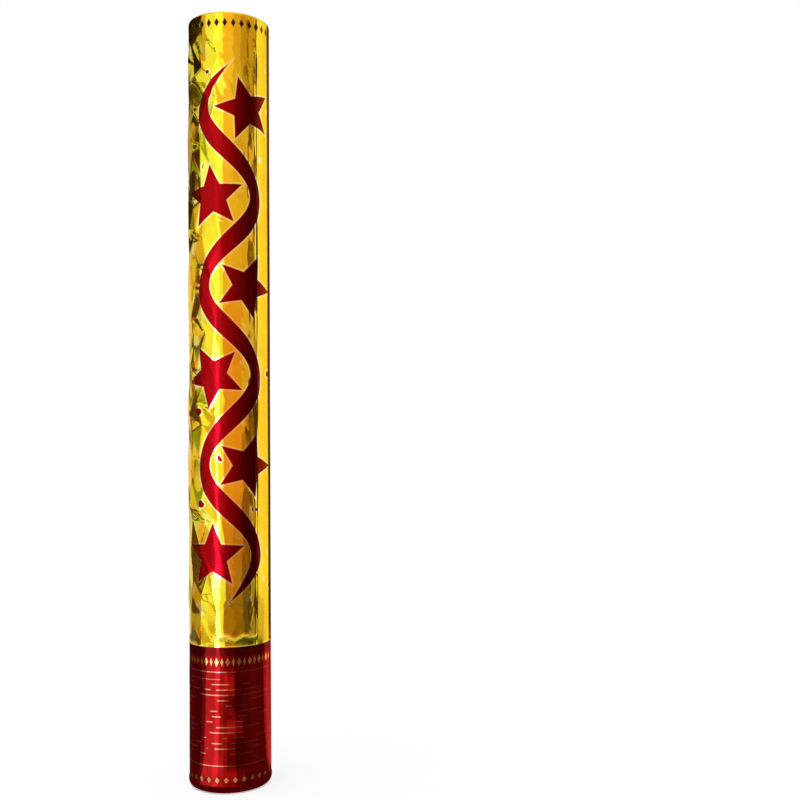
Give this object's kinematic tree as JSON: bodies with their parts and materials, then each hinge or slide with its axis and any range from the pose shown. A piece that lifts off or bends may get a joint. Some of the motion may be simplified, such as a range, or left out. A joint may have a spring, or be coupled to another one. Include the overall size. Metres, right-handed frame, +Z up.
{
  "type": "confetti popper",
  "caption": "Slender foil-wrapped card tube with a twist grip at its base: twisting lifts a cam-driven stopper and compressed air fires the confetti out of the mouth.",
  "frame": {"origin": "on the floor at the middle of the base", "axes": "+Z up the tube from the base to the mouth; -Y faces the picture's viewer; +X to the viewer's right"},
  "size_m": [0.043, 0.043, 0.4],
  "materials": {
    "gold_foil": "metallised gold film, crinkled, printed in dark red",
    "red_foil": "metallised red film with fine pale lines",
    "tube_card": "spiral-wound grey-brown board",
    "base_plastic": "moulded, fine grain",
    "label_paper": "plain uncoated",
    "bottle_plastic": "blown, translucent white",
    "seal_rubber": "matt black",
    "valve_plastic": "moulded, natural acetal",
    "cam_plastic": "moulded red acetal",
    "spring_steel": "bright wire",
    "wad_felt": "pressed wool felt",
    "confetti_red": "dyed tissue",
    "confetti_orange": "dyed tissue",
    "confetti_gold": "foil-faced",
    "confetti_green": "dyed tissue",
    "confetti_blue": "dyed tissue",
    "confetti_magenta": "dyed tissue",
    "confetti_turquoise": "dyed tissue",
    "confetti_gold_discs": "foil-faced"
  },
  "bodies": {
    "barrel": {"barrel_tube": "tube_card", "barrel_foil": "gold_foil", "release_housing": "base_plastic", "cam_sleeve": "cam_plastic", "wad_seat_ring": "tube_card"},
    "twist_base": {"grip_tube": "tube_card", "grip_foil": "red_foil", "base_plug": "base_plastic", "base_label": "label_paper", "coupling_sleeve": "tube_card", "air_cylinder": "bottle_plastic", "filler_plug": "seal_rubber", "mouth_gasket": "seal_rubber", "valve_body": "valve_plastic", "thrust_washer": "valve_plastic", "retaining_clip": "spring_steel"},
    "stopper_set": {"stopper": "cam_plastic", "stopper_seal": "seal_rubber", "cross_pin": "spring_steel"},
    "charge": {"pusher_disc": "tube_card", "felt_wad": "wad_felt", "confetti_red": "confetti_red", "confetti_orange": "confetti_orange", "confetti_gold": "confetti_gold", "confetti_green": "confetti_green", "confetti_blue": "confetti_blue", "confetti_magenta": "confetti_magenta", "confetti_turquoise": "confetti_turquoise", "confetti_gold_discs": "confetti_gold_discs"},
    "closure": {"mouth_disc": "tube_card", "mouth_foil": "gold_foil"}
  },
  "joints": [
    {"name": "base_twist", "type": "hinge", "parent": "barrel", "child": "twist_base", "pos_m": [0, 0, 0], "axis": [0, 0, 1], "range_deg": [0, 120]},
    {"name": "stopper_lift", "type": "slide", "parent": "twist_base", "child": "stopper_set", "axis": [0, 0, 1], "range_m": [0, 0.005]},
    {"name": "charge_eject", "type": "slide", "parent": "barrel", "child": "charge", "axis": [0, 0, 1], "range_m": [0, 0.24]},
    {"name": "closure_eject", "type": "slide", "parent": "barrel", "child": "closure", "axis": [0, 0, 1], "range_m": [0, 0.288]}
  ],
  "couplings": [
    {"joint": "stopper_lift", "follows": "base_twist", "m_per_rad": 0.0023873},
    {"joint": "closure_eject", "follows": "charge_eject", "ratio": 1.2}
  ]
}
